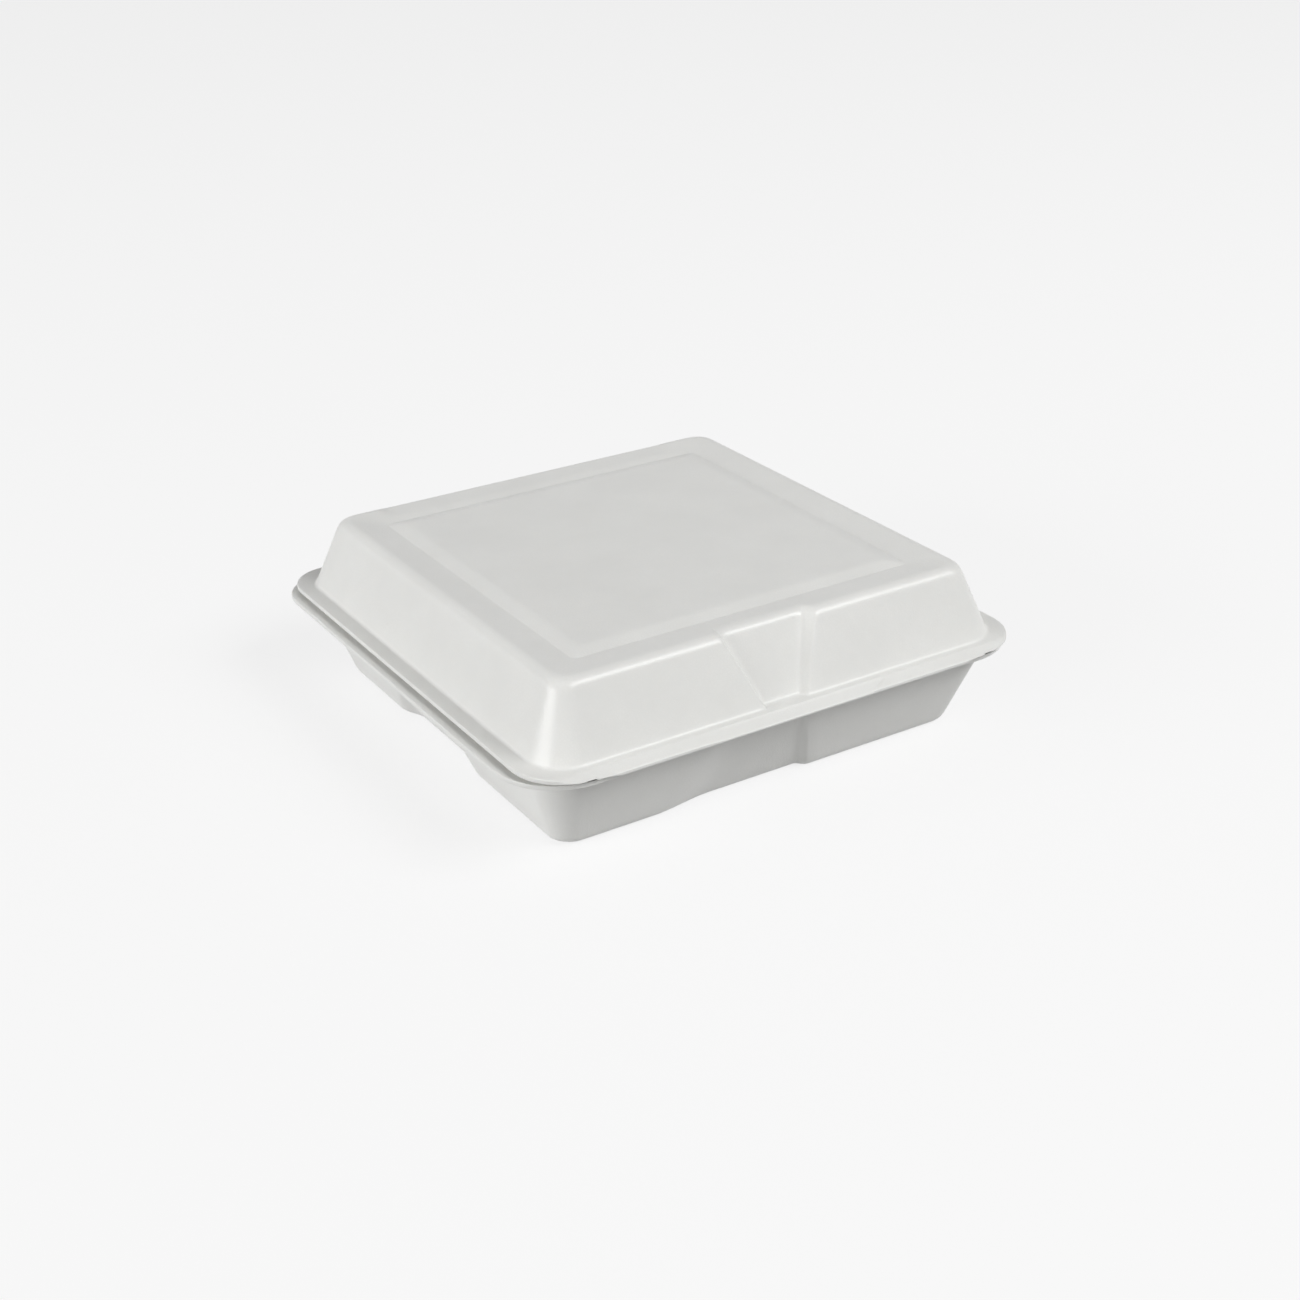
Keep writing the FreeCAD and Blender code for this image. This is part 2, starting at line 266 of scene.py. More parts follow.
@dataclass(frozen=True)
class Ring:
    """One level of a half, seen from above, in millimetres.

    Attributes:
        half_x: Reach to both sides.
        front: Y of the front side.
        back: Y of the back side.
        front_radius: Radius of the two front corners.
        back_radius: Radius of the two back corners.
        z: Height.
        z_front: Height along the straight part of the front side.
        z_web: Height along the hinge web.
        web: How far the hinge web reaches past the back side.
        press: How much of the relief's depth this ring takes.
        grow: How much further apart the relief's sides are, for the inside of the sheet.
        tab: Place between the wall, at 0, and the front edge, at 1.
        tab_press: How much of the pull tab's depth this ring takes.
        sink: How far this ring drops inside the front relief.
        cuts: Steps from the ring before to this one.
        rounding: Length over which the profile is rounded here.
    """

    half_x: float
    front: float
    back: float
    front_radius: float
    back_radius: float
    z: float
    z_front: float
    z_web: float
    web: float = 0.0
    press: float = 0.0
    grow: float = 0.0
    tab: float = 0.0
    tab_press: float = 0.0
    sink: float = 0.0
    cuts: float = 1.0
    rounding: float = 0.0

    def row(self) -> np.ndarray:
        """The ring's values as one row, so that rings can be mixed."""
        return np.array([getattr(self, name) for name in self.__dataclass_fields__], float)


COLUMN = {name: place for place, name in enumerate(Ring.__dataclass_fields__)}


def even(half_x: float, half_y: float, radius: float, z: float, **more: float) -> Ring:
    """Ring that is centred and level.

    Args:
        half_x: Reach to both sides.
        half_y: Reach to the front and to the back.
        radius: Corner radius.
        z: Height.
        more: Other values of the ring.

    Returns:
        The ring.
    """
    return Ring(half_x, -half_y, half_y, radius, radius, z, z, z, **more)


def between(first: float, first_at: float, second: float, second_at: float, here: float) -> float:
    """Straight-line value at a place, from its values at two places."""
    return first + (second - first) * (here - first_at) / (second_at - first_at)


def smooth(share: np.ndarray | float) -> np.ndarray | float:
    """Eased step from 0 to 1."""
    held = np.clip(share, 0.0, 1.0)
    return held * held * (3.0 - 2.0 * held)


def profile_gap(first: np.ndarray, second: np.ndarray) -> float:
    """Distance between two rings along the profile, at the side or at the front."""
    step = second - first
    at_side = math.hypot(step[COLUMN["half_x"]], step[COLUMN["z"]])
    at_front = math.hypot(step[COLUMN["front"]], step[COLUMN["z_front"]])
    return max(at_side, at_front)


def rounded_stack(rings: Sequence[Ring], bends: int = 4, longest_share: float = 0.45) -> np.ndarray:
    """Divides a profile into rows of ring values, with its corners rounded.

    Args:
        rings: The profile's corners, in order.
        bends: Steps in each rounded corner.
        longest_share: Share of the way to the next corner that a rounding may take.

    Returns:
        One row of ring values for each level of the mesh.
    """
    rows = [ring.row() for ring in rings]
    last = len(rows) - 1
    entries = []
    exits = []
    for i, row in enumerate(rows):
        if i in (0, last) or rings[i].rounding <= 0.0:
            entries.append(row)
            exits.append(row)
            continue
        before = profile_gap(rows[i - 1], row)
        after = profile_gap(row, rows[i + 1])
        reach_in = min(rings[i].rounding, before * longest_share)
        reach_out = min(rings[i].rounding, after * longest_share)
        entries.append(row + (rows[i - 1] - row) * reach_in / before)
        exits.append(row + (rows[i + 1] - row) * reach_out / after)
    stack = [rows[0]]
    for i in range(1, last + 1):
        steps = max(1, round(rings[i].cuts))
        for k in range(1, steps + 1):
            stack.append(exits[i - 1] + (entries[i] - exits[i - 1]) * k / steps)
        if entries[i] is not exits[i]:
            for k in range(1, bends + 1):
                t = k / bends
                stack.append(entries[i] * (1 - t) ** 2 + rows[i] * 2 * t * (1 - t) + exits[i] * t ** 2)
    return np.array(stack)


def join_doubles(mesh: bpy.types.Mesh) -> None:
    """Joins the points of a mesh that lie on one another, which leaves no face without an area."""
    joined = bmesh.new()
    joined.from_mesh(mesh)
    bmesh.ops.remove_doubles(joined, verts=joined.verts, dist=SAME_POINT_MM * MM)
    joined.to_mesh(mesh)
    joined.free()


@dataclass(frozen=True)
class Relief:
    """Panel pressed into a wall, with slanting sides.

    Attributes:
        low: Its two ends at the low height.
        high: Its two ends at the high height.
        low_z: Low height.
        high_z: High height.
        depths: Depth at the low height and at the high height.
        drafts: Slant in degrees of its left and of its right side.
        soft: Extra width of the rounding on its left and on its right side.
        stretch: Level thickness of a leaning wall for each unit of sheet.
    """

    low: tuple[float, float]
    high: tuple[float, float]
    low_z: float
    high_z: float
    depths: tuple[float, float]
    drafts: tuple[float, float] = (40.0, 40.0)
    soft: tuple[float, float] = (0.7, 0.7)
    stretch: float = 1.07

    def depth(self, z: float) -> float:
        """Depth at a height."""
        return between(self.depths[0], self.low_z, self.depths[1], self.high_z, z)

    def side(self, end: int, z: float, grow: float) -> tuple[float, float]:
        """Where the slanting step at one end begins on the wall and ends on the pressed face.

        Args:
            end: 0 for the left end, 1 for the right end.
            z: Height.
            grow: Thickness of sheet outside this face.

        Returns:
            Outer and inner place along the side.
        """
        slant = math.radians(self.drafts[end])
        inwards = (1.0, -1.0)[end]
        shift = grow * (self.stretch * math.tan(slant) - 1.0 / math.cos(slant))
        outer = between(self.low[end], self.low_z, self.high[end], self.high_z, z) + inwards * shift
        inner = outer + inwards * self.depth(z) * math.tan(slant)
        return outer - inwards * self.soft[end], inner + inwards * self.soft[end]

    def lines(self, z: float, grow: float) -> tuple[float, float, float, float]:
        """Where the steps begin and end at both sides.

        Args:
            z: Height.
            grow: Thickness of sheet outside this face.

        Returns:
            Four places along the side: outer left, inner left, inner right, outer right.
        """
        held = min(max(z, self.low_z), self.high_z)
        outer_left, inner_left = self.side(0, held, grow)
        outer_right, inner_right = self.side(1, held, grow)
        return outer_left, inner_left, inner_right, outer_right


@dataclass
class Shell:
    """Closed foam shell made of rings.

    Attributes:
        name: Name of the piece.
        rings: Corners of the profile, from the middle of the outside to the middle of the inside.
        reliefs: Relief of each side.
        tab_at_wall: Ends of the pull tab at the wall.
        tab_at_edge: Ends of the pull tab at the front edge.
        tab_soft: Half width of the tab's step at its left and at its right end.
        tab_depth: Depth of the pull tab's press.
        lip_half: Half length of the front lip.
        lip_slope: Length of the lip's slanting ends.
        web_half: Half length of the hinge web.
        web_slope: Length over which the web ends.
        steady_half: Mesh lines nearer to the middle than this stay in place where a side is short.
        straight_share: Share of a short side that its mesh lines may take.
        corner_steps: Steps in each corner.
        side_steps: Steps in each run of a side.
        plain: Relief of a side that has none.
    """

    name: str
    rings: list[Ring]
    reliefs: dict[Side, Relief]
    tab_at_wall: tuple[float, float] = (-38.0, 45.0)
    tab_at_edge: tuple[float, float] = (-41.0, 35.0)
    tab_soft: tuple[float, float] = (5.0, 0.6)
    tab_depth: float = 0.0
    lip_half: float = 92.0
    lip_slope: float = 3.0
    web_half: float = 96.0
    web_slope: float = 1.0
    steady_half: float = 60.0
    straight_share: float = 0.985
    corner_steps: int = 14
    side_steps: tuple[int, ...] = (3, 3, 14, 3, 6, 6, 12, 6, 8, 3, 14, 3, 3)
    plain: Relief = field(default_factory=lambda: Relief((-20.0, 20.0), (-20.0, 20.0), 0.0, 73.0, (0.0, 0.0)))

    def knots(self, row: np.ndarray, side: Side, reach: float) -> np.ndarray:
        """Places along one side where the mesh has a line.

        Args:
            row: Ring values.
            side: Side of the ring.
            reach: Half length of the straight part of the side.

        Returns:
            Places in millimetres, growing.
        """
        ring = Ring(*row)
        relief = self.reliefs.get(side, self.plain)
        outer_left, inner_left, inner_right, outer_right = relief.lines(ring.z, ring.grow)
        tab_left = between(self.tab_at_wall[0], 0.0, self.tab_at_edge[0], 1.0, ring.tab)
        tab_right = between(self.tab_at_wall[1], 0.0, self.tab_at_edge[1], 1.0, ring.tab)
        end = self.lip_half if side is not Side.BACK else self.web_half + self.web_slope
        start = self.lip_half - self.lip_slope if side is not Side.BACK else self.web_half
        places = np.array([
            -end, -start, tab_left - self.tab_soft[0], tab_left + self.tab_soft[0], outer_left, inner_left,
            inner_right, outer_right, tab_right - self.tab_soft[1], tab_right + self.tab_soft[1], start, end,
        ])
        fixed = self.steady_half
        limit = reach * self.straight_share
        if limit < end:
            least_rest = min(limit, fixed * 1.2) * 0.2
            shrunk = np.clip((np.abs(places) - fixed) / (end - fixed), 0.0, 1.0)
            spread = np.minimum(np.abs(places), fixed) + shrunk * max(limit - fixed, least_rest)
            places = np.sign(places) * spread * min(1.0, limit / spread.max())
        return np.concatenate([[-reach], places, [reach]])

    def side_places(self, row: np.ndarray, side: Side,
                    reach: float) -> tuple[np.ndarray, np.ndarray, np.ndarray]:
        """Places of all points of one side, and how much they take of the relief and of the tab.

        Args:
            row: Ring values.
            side: Side of the ring.
            reach: Half length of the straight part.

        Returns:
            Places, share of the relief, and share of the tab.
        """
        knots = self.knots(row, side, reach)
        places = []
        relief = []
        tab = []
        for i, steps in enumerate(self.side_steps):
            in_tab = float(Run.TAB_LEFT < i < Run.TAB_RIGHT)
            for k in range(steps):
                share = k / steps
                rise, fall = smooth(share), 1.0 - smooth(share)
                places.append(knots[i] + (knots[i + 1] - knots[i]) * share)
                pressed = {Run.RELIEF_LEFT: rise, Run.RELIEF_FACE: 1.0, Run.RELIEF_RIGHT: fall}
                relief.append(pressed.get(i, 0.0))
                tab.append({Run.TAB_LEFT: rise, Run.TAB_RIGHT: fall}.get(i, in_tab))
        return np.array(places), np.array(relief), np.array(tab)

    def ring_points(self, row: np.ndarray) -> np.ndarray:
        """Points of one ring.

        Args:
            row: Ring values.

        Returns:
            Array of points in millimetres.
        """
        ring = Ring(*row)
        parts = []
        at_back, at_front = ring.back_radius, ring.front_radius
        corners = {
            Side.RIGHT: (ring.half_x - at_back, ring.back - at_back, at_back, 0.0),
            Side.BACK: (-ring.half_x + at_back, ring.back - at_back, at_back, 90.0),
            Side.LEFT: (-ring.half_x + at_front, ring.front + at_front, at_front, 180.0),
            Side.FRONT: (ring.half_x - at_front, ring.front + at_front, at_front, 270.0),
        }
        middle_y = (ring.front + at_front + ring.back - at_back) * 0.5
        reach_y = (ring.back - at_back - ring.front - at_front) * 0.5
        for side in Side:
            depth = self.reliefs[side].depth(ring.z) * ring.press if side in self.reliefs else 0.0
            if side in (Side.RIGHT, Side.LEFT):
                along, relief, _ = self.side_places(row, side, reach_y)
                sign = 1.0 if side is Side.RIGHT else -1.0
                x = sign * (ring.half_x - relief * depth)
                y = middle_y + along * sign
                points = np.stack([x, y, np.full(len(x), ring.z)], -1)
            elif side is Side.BACK:
                along, relief, _ = self.side_places(row, side, ring.half_x - at_back)
                x = -along
                held = 1.0 - smooth((np.abs(x) - self.web_half) / self.web_slope)
                y = ring.back + ring.web * held - relief * depth
                z = ring.z + (ring.z_web - ring.z) * held
                points = np.stack([x, y, z], -1)
            else:
                x, relief, tab = self.side_places(row, side, ring.half_x - at_front)
                held = 1.0 - np.clip((np.abs(x) - self.lip_half + self.lip_slope) / self.lip_slope, 0.0, 1.0)
                y = ring.front + relief * depth
                z = ring.z + (ring.z_front - ring.z) * held - tab * ring.tab_press * self.tab_depth
                z -= relief * ring.sink
                points = np.stack([x, y, z], -1)
            parts.append(points)
            centre_x, centre_y, radius, start = corners[side]
            turns = np.radians(start + 90.0 * np.arange(self.corner_steps) / self.corner_steps)
            parts.append(np.stack([
                centre_x + radius * np.cos(turns),
                centre_y + radius * np.sin(turns),
                np.full(len(turns), ring.z),
            ], -1))
        return np.concatenate(parts)

    def build(self, finish_points: Callable[[np.ndarray, np.ndarray], np.ndarray]) -> bpy.types.Object:
        """Makes the mesh object.

        Args:
            finish_points: Last change to the points, given the points and the rows of ring values.

        Returns:
            The new object, which isn't riding on a body yet.
        """
        rows = rounded_stack(self.rings)
        points = np.stack([self.ring_points(row) for row in rows])
        points = finish_points(points, rows)
        levels, around = points.shape[:2]
        verts = np.concatenate([
            points.reshape(-1, 3),
            points[0].mean(0, keepdims=True),
            points[-1].mean(0, keepdims=True),
        ]) * MM
        first, last = levels * around, levels * around + 1
        faces = []
        for i in range(levels - 1):
            for j in range(around):
                k = (j + 1) % around
                faces.append((i * around + j, (i + 1) * around + j, (i + 1) * around + k, i * around + k))
        tail = (levels - 1) * around
        for j in range(around):
            k = (j + 1) % around
            faces.append((first, j, k))
            faces.append((last, tail + k, tail + j))
        mesh = bpy.data.meshes.new(self.name)
        mesh.from_pydata(verts.tolist(), [], faces)
        join_doubles(mesh)
        mesh.shade_smooth()
        mesh.update()
        shell = bpy.data.objects.new(self.name, mesh)
        bpy.context.scene.collection.objects.link(shell)
        return shell


# The two halves


@dataclass
class Container:
    """Sizes that the two halves share, in millimetres."""

    height: float = 73.0
    rim: float = 41.0
    sheet: float = 2.2
    flange: float = 2.0
    flange_drop: float = 1.5
    mouth_half: float = 110.3
    mouth_radius: float = 17.5
    fold_y: float = 117.05
    fold_gap: float = 0.05
    web_thickness: float = 0.8
    crisp: float = 0.5               # rounding of the sheet's cut edges
    soft: float = 1.2                # rounding of a pressed crease


@dataclass
class LidHalf(Container):
    """Lid: panel, crease, channel, crest, walls with a thumb relief, flange, lip and pull tab."""

    crest_inset: float = 13.0
    crest_radius: float = 7.5
    crest_rounding: float = 5.0
    crest_land: float = 0.5
    channel_width: float = 13.0
    channel_depth: float = 1.7
    crease_radius: float = 3.0
    panel_rise: float = 1.7
    panel_border: float = 6.5
    dip_depth: float = 1.0           # the crest is lower along the back
    dip_half: float = 78.0
    dip_soft: float = 5.0
    flange_side: float = 6.0
    flange_front: float = 6.7
    flange_back: float = 4.5
    flange_front_radius: float = 22.0
    flange_back_radius: float = 17.0
    bevel_start: float = 2.0
    bevel_drop: float = 2.4
    bevel_corner: float = 80.0       # the slope is also cut into the corners, from here outwards
    bevel_radii: tuple[tuple[float, float], ...] = ((18.5, 17.5), (19.0, 17.4), (19.5, 17.3))
    lip_thickness: float = 1.65
    lip_drop: float = 1.8
    lip_root: float = 0.9
    lip_gusset: float = 2.0          # start of the gusset behind the lip, from the wall
    lip_half: float = 92.0
    lip_slope: float = 10.0          # the lip runs out gently at both ends
    tab_depth: float = 0.5
    tab_step: float = 0.7            # length of the first step down into the pull tab
    relief_crest: tuple[float, float] = (-25.5, 20.5)
    relief_rim: tuple[float, float] = (-11.0, 7.5)
    relief_depth: tuple[float, float] = (2.6, 4.4)
    relief_drafts: tuple[float, float] = (25.0, 40.0)
    relief_soft: tuple[float, float] = (0.15, 0.7)
    relief_on_top: float = 0.85      # share of the relief's depth on top of the crest
    relief_on_bend: float = 0.9      # and where the crest starts to bend down
    crest_steps: int = 8
    crest_flare: float = 1.2         # growth of the corner radius around the crest's bend
    panel_sag: float = 0.35

    def wall_half(self, z: float, offset: float = 0.0) -> float:
        """Reach of the wall face at a height, offset inwards by some of the sheet."""
        slope = self.crest_inset / (self.height - self.rim)
        return self.mouth_half - offset * math.hypot(1.0, slope) - slope * (z - self.rim)

    def wall_radius(self, z: float, offset: float = 0.0) -> float:
        """Corner radius of the wall at a height."""
        return between(self.mouth_radius, self.rim, self.crest_radius, self.height, z) - offset

    def wall_ring(self, z: float, offset: float = 0.0, **more: float) -> Ring:
        """Ring on the wall face at a height."""
        half = self.wall_half(z, offset)
        return even(half, half, self.wall_radius(z, offset), z, press=1.0, **more)

    def panel_rings(self, offset: float) -> list[Ring]:
        """Rings of the top panel and its curved border, from the middle outwards.

        Args:
            offset: Distance under the outer face.

        Returns:
            The rings.
        """
        crease_half = self.crease_half()
        flat = crease_half - self.panel_border
        low = self.height - self.channel_depth - offset
        top = low + self.panel_rise
        return [
            even(1.0, 1.0, 0.4, top),
            even(flat, flat, 2.5, top, cuts=14, rounding=1.8),
            even(crease_half, crease_half, self.crease_radius, low, rounding=0.35, cuts=3),
        ]

    def crease_half(self) -> float:
        """Reach of the crease around the panel."""
        return self.crest_top_half() - self.crest_land - self.channel_width

    def crest_top_half(self) -> float:
        """Reach of the top of the crest, where its rounding starts."""
        lean = math.atan2(self.crest_inset, self.height - self.rim)
        crest_half = self.mouth_half - self.crest_inset
        return crest_half - self.crest_rounding * (1.0 - math.sin(lean)) / math.cos(lean)

    def crest_rings(self, offset: float, grow: float) -> list[Ring]:
        """Rings of the channel's outer end and the rounded crest, down to the top of the wall.

        Args:
            offset: Distance under the outer face.
            grow: How much further apart the relief's sides are.

        Returns:
            The rings.
        """
        top_half = self.crest_top_half()
        top = self.height - offset
        lean = math.atan2(self.crest_inset, self.height - self.rim)
        radius = self.crest_rounding - offset
        plan = self.crest_radius - offset
        slope = self.channel_depth / self.channel_width
        sink = self.relief_depth[1] * slope
        land_half = top_half - self.crest_land
        rings = [even(land_half, land_half, plan + 1.5, top, press=self.relief_on_top, grow=grow,
                      sink=sink * self.relief_on_top, cuts=8, rounding=0.8)]
        steps = self.crest_steps
        for k in range(steps + 1):
            turn = (math.pi / 2 - lean) * k / steps
            half = top_half + radius * math.sin(turn)
            z = self.height - self.crest_rounding + radius * math.cos(turn)
            press = between(self.relief_on_bend, 0, 1.0, steps, k)
            rings.append(even(half, half, plan + self.crest_flare * k / steps, z, press=press, grow=grow,
                              sink=sink * (1.0 - k / steps)))
        return rings

    def flange_rings(self) -> list[Ring]:
        """Rings of the flange, its sloping front edge and the lip, from the wall to the mouth.

        Returns:
            The rings.
        """
        top = self.rim + self.flange
        side = self.mouth_half + self.flange_side
        front = -(self.mouth_half + self.flange_front)
        back = self.mouth_half + self.flange_back
        web = self.fold_y - self.fold_gap - back
        lip_low = self.rim - self.lip_drop
        start = self.mouth_half + self.bevel_start
        edge_front = top - self.bevel_drop
        fall = self.bevel_drop / (self.flange_front - self.bevel_start)
        inner = self.lip_thickness
        gusset = self.mouth_half + self.lip_gusset
        plan = dict(front_radius=self.flange_front_radius, back_radius=self.flange_back_radius)
        inset = {name: radius - inner for name, radius in plan.items()}
        level, bend, slope = self.bevel_radii
        step = self.tab_step
        return [
            Ring(start - 0.5, -start + 0.5, start - 0.5, *level, top, top, top, cuts=1),
            Ring(start, -start, start, *bend, top, top, top, cuts=1, rounding=0.4),
            Ring(start + step, -start - step, start + 0.4, *slope, top, top - step * fall, top,
                 tab=0.15, tab_press=0.4, cuts=1, rounding=0.25),
            Ring(side, front, back, **plan, z=top, z_front=edge_front, z_web=top,
                 tab=1.0, tab_press=1.0, cuts=6, rounding=self.crisp),
            Ring(side, front, back, **plan, z=self.rim + self.web_thickness, z_front=lip_low + 0.6,
                 z_web=self.rim + self.web_thickness, web=web, tab=1.0, cuts=2),
            Ring(side, front, back, **plan, z=self.rim, z_front=lip_low, z_web=self.rim,
                 web=web, tab=1.0, cuts=2, rounding=self.crisp),
            Ring(side - inner, front + inner, back - inner, **inset, z=self.rim, z_front=lip_low,
                 z_web=self.rim, web=web, tab=1.0, cuts=2, rounding=0.25),
            Ring(side - inner, front + inner, back - inner, **inset, z=self.rim,
                 z_front=self.rim - self.lip_root, z_web=self.rim, tab=1.0, cuts=1),
            even(gusset, gusset, self.mouth_radius + self.lip_gusset, self.rim, cuts=1),
        ]

    def rings(self) -> list[Ring]:
        """All corners of the lid's profile."""
        thick = self.sheet
        lean = math.atan2(self.crest_inset, self.height - self.rim)
        wall_top = self.height - self.crest_rounding * (1.0 - math.sin(lean))
        inner_crest = list(reversed(self.crest_rings(thick, thick)))
        inner_panel = list(reversed(self.panel_rings(thick)))
        outer = self.panel_rings(0.0) + self.crest_rings(0.0, 0.0)
        wall = [
            self.wall_ring(between(wall_top, 0, self.rim + self.flange, 1, 0.02)),
            self.wall_ring(self.rim + self.flange, cuts=16, rounding=self.soft),
        ]
        mouth = [self.wall_ring(self.rim, thick, grow=thick, cuts=3, rounding=self.soft)]
        inner_crest[0] = replace(inner_crest[0], cuts=14.0)
        inner_panel[0] = replace(inner_panel[0], cuts=8.0)
        inner_panel[-1] = replace(inner_panel[-1], cuts=14.0)
        return outer + wall + self.flange_rings() + mouth + inner_crest + inner_panel

    def bevel(self, points: np.ndarray, rows: np.ndarray) -> np.ndarray:
        """Slopes the corners of the flange's front edge, lowers the back crest and lets the panel sag.

        Args:
            points: Points of all rings.
            rows: Ring values.

        Returns:
            The changed points.
        """
        top = self.rim + self.flange
        start = self.mouth_half + self.bevel_start
        fall = self.bevel_drop / (self.flange_front - self.bevel_start)
        x, y, z = points[..., 0], points[..., 1], points[..., 2]
        slope = top - np.maximum(-y - start, 0.0) * fall
        on_flange = (z < top + 0.01) & (np.abs(x) > self.bevel_corner)
        high = on_flange & (z > slope)
        lowest = np.where(np.abs(x) > self.lip_half, self.rim, self.rim - self.lip_drop)
        points[..., 2] = np.where(high, np.maximum(slope, lowest), z)
        flat = self.crease_half()
        inside = np.arange(len(rows)) > int(np.argmin(rows[:, COLUMN["z_front"]]))
        held = 1.0 - smooth((np.abs(x) - self.dip_half + self.dip_soft) / self.dip_soft)
        cap = self.height - self.sheet * inside[:, None] - self.dip_depth * held
        points[..., 2] = np.where(y > flat + 1.0, np.minimum(points[..., 2], cap), points[..., 2])
        near = np.clip(1.0 - (x / flat) ** 2, 0.0, 1.0) * np.clip(1.0 - (y / flat) ** 2, 0.0, 1.0)
        on_top = z > self.height - self.channel_depth - self.sheet - 0.2
        points[..., 2] -= np.where(on_top, near * self.panel_sag, 0.0)
        return points

    def build(self, foam: bpy.types.Material) -> bpy.types.Object:
        """Makes the lid, dresses it and puts it on its body.

        Args:
            foam: Foam material.

        Returns:
            The lid.
        """
        relief = Relief(self.relief_rim, self.relief_crest, self.rim, self.height, self.relief_depth,
                        self.relief_drafts, self.relief_soft)
        shell = Shell("foam_lid", self.rings(), {Side.FRONT: relief}, tab_depth=self.tab_depth,
                      lip_half=self.lip_half, lip_slope=self.lip_slope)
        lid = shell.build(self.bevel)
        lid.data.materials.append(foam)
        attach(lid, Half.LID.value)
        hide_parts("hinged_lid")
        return lid


@dataclass
class TrayHalf(Container):
    """Tray: raised floor, foot, walls with reliefs, flange and rim."""

    floor_inset_side: float = 14.2
    floor_inset_end: float = 16.5
    floor_radius: float = 9.0
    foot_width: float = 15.0
    foot_rise: float = 1.4
    foot_slope: float = 3.0
    foot_rounding: float = 1.4
    raised_radius: float = 6.0
    floor_rounding: float = 4.2
    bead: float = 1.6
    flange_side: float = 9.7
    flange_back: float = 5.3
    flange_front: float = 4.65
    flange_front_radius: float = 28.0
    flange_back_radius: float = 20.0
    relief_floor: tuple[float, float] = (-50.0, 20.5)
    relief_rim: tuple[float, float] = (-30.0, 7.5)
    relief_depth: tuple[float, float] = (3.6, 2.2)
    relief_drafts: tuple[float, float] = (80.0, 40.0)
    relief_soft: tuple[float, float] = (4.0, 0.7)
    side_relief_floor: float = 35.0  # half lengths, at the floor and at the rim
    side_relief_rim: float = 14.0
    side_relief_depth: tuple[float, float] = (4.5, 1.0)
    side_relief_draft: float = 62.0
    side_relief_soft: float = 2.0
    side_relief_shift: float = 6.5   # towards the hinge
    spare_tab: tuple[float, float] = (-65.0, 60.0)    # no pull tab here: its mesh lines stand aside

    def wall_ring(self, z: float, offset: float = 0.0, **more: float) -> Ring:
        """Ring on the wall face at a height, offset inwards by some of the sheet."""
        slope_x = self.floor_inset_side / self.rim
        slope_y = self.floor_inset_end / self.rim
        half_x = self.mouth_half - offset * math.hypot(1.0, slope_x) - slope_x * (self.rim - z)
        half_y = self.mouth_half - offset * math.hypot(1.0, slope_y) - slope_y * (self.rim - z)
        radius = between(self.floor_radius, 0.0, self.mouth_radius, self.rim, z) - offset
        return even(half_x, half_y, radius, z, press=1.0, **more)

    def floor_rings(self, offset: float) -> list[Ring]:
        """Rings of the raised floor, from the middle outwards.

        Args:
            offset: Distance over the outer face.

        Returns:
            The rings.
        """
        half_x = self.mouth_half - self.floor_inset_side - self.foot_width
        half_y = self.mouth_half - self.floor_inset_end - self.foot_width
        in_x, in_y = half_x - self.foot_slope, half_y - self.foot_slope
        raised = offset + self.foot_rise
        return [
            even(1.0, 1.0, 0.4, raised),
            even(in_x, in_y, self.raised_radius, raised, cuts=12, rounding=self.foot_rounding),
            even(half_x, half_y, self.floor_radius, offset, cuts=2, rounding=self.foot_rounding),
        ]

    def rings(self) -> list[Ring]:
        """All corners of the tray's profile."""
        thick = self.sheet
        flange_top = self.rim - self.flange_drop
        flange_low = flange_top - self.flange
        side = self.mouth_half + self.flange_side
        front = -(self.mouth_half + self.flange_front)
        back = self.mouth_half + self.flange_back
        web = self.fold_y - self.fold_gap - back
        plan = dict(front_radius=self.flange_front_radius, back_radius=self.flange_back_radius)
        bead = self.mouth_half + self.bead
        bead_radius = self.mouth_radius + self.bead
        web_low = self.rim - self.web_thickness
        outside = self.floor_rings(0.0) + [
            self.wall_ring(0.0, cuts=3, rounding=self.floor_rounding),
            self.wall_ring(flange_low, cuts=18, rounding=0.8),
            Ring(side, front, back, **plan, z=flange_low, z_front=flange_low, z_web=flange_low,
                 cuts=4, rounding=self.crisp),
            Ring(side, front, back, **plan, z=flange_low + 1.0, z_front=flange_low + 1.0,
                 z_web=web_low, web=web, cuts=1),
            Ring(side, front, back, **plan, z=flange_top, z_front=flange_top, z_web=self.rim,
                 web=web, cuts=1, rounding=self.crisp),
            Ring(side - 1.0, front + 0.4, back - 1.0, self.flange_front_radius - 1.0,
                 self.flange_back_radius - 1.0, flange_top, flange_top, flange_top, cuts=1),
            even(bead, bead, bead_radius, flange_top, cuts=4, rounding=0.3),
            even(bead, bead, bead_radius, self.rim, cuts=1, rounding=0.4),
        ]
        mouth = self.wall_ring(self.rim, thick, grow=thick, cuts=2, rounding=0.8)
        inner_floor = list(reversed(self.floor_rings(thick)))
        inner_floor[0] = replace(inner_floor[0], cuts=3.0)
        inner_floor[-1] = replace(inner_floor[-1], cuts=12.0)
        inside = [mouth, self.wall_ring(thick, thick, grow=thick, cuts=18, rounding=2.6)] + inner_floor
        return outside + inside

    def side_relief(self, shift: float) -> Relief:
        """Relief of a side wall, moved along the wall."""
        floor, rim = self.side_relief_floor, self.side_relief_rim
        return Relief((shift - floor, shift + floor), (shift - rim, shift + rim), 0.0, self.rim,
                      self.side_relief_depth, (self.side_relief_draft,) * 2, (self.side_relief_soft,) * 2)

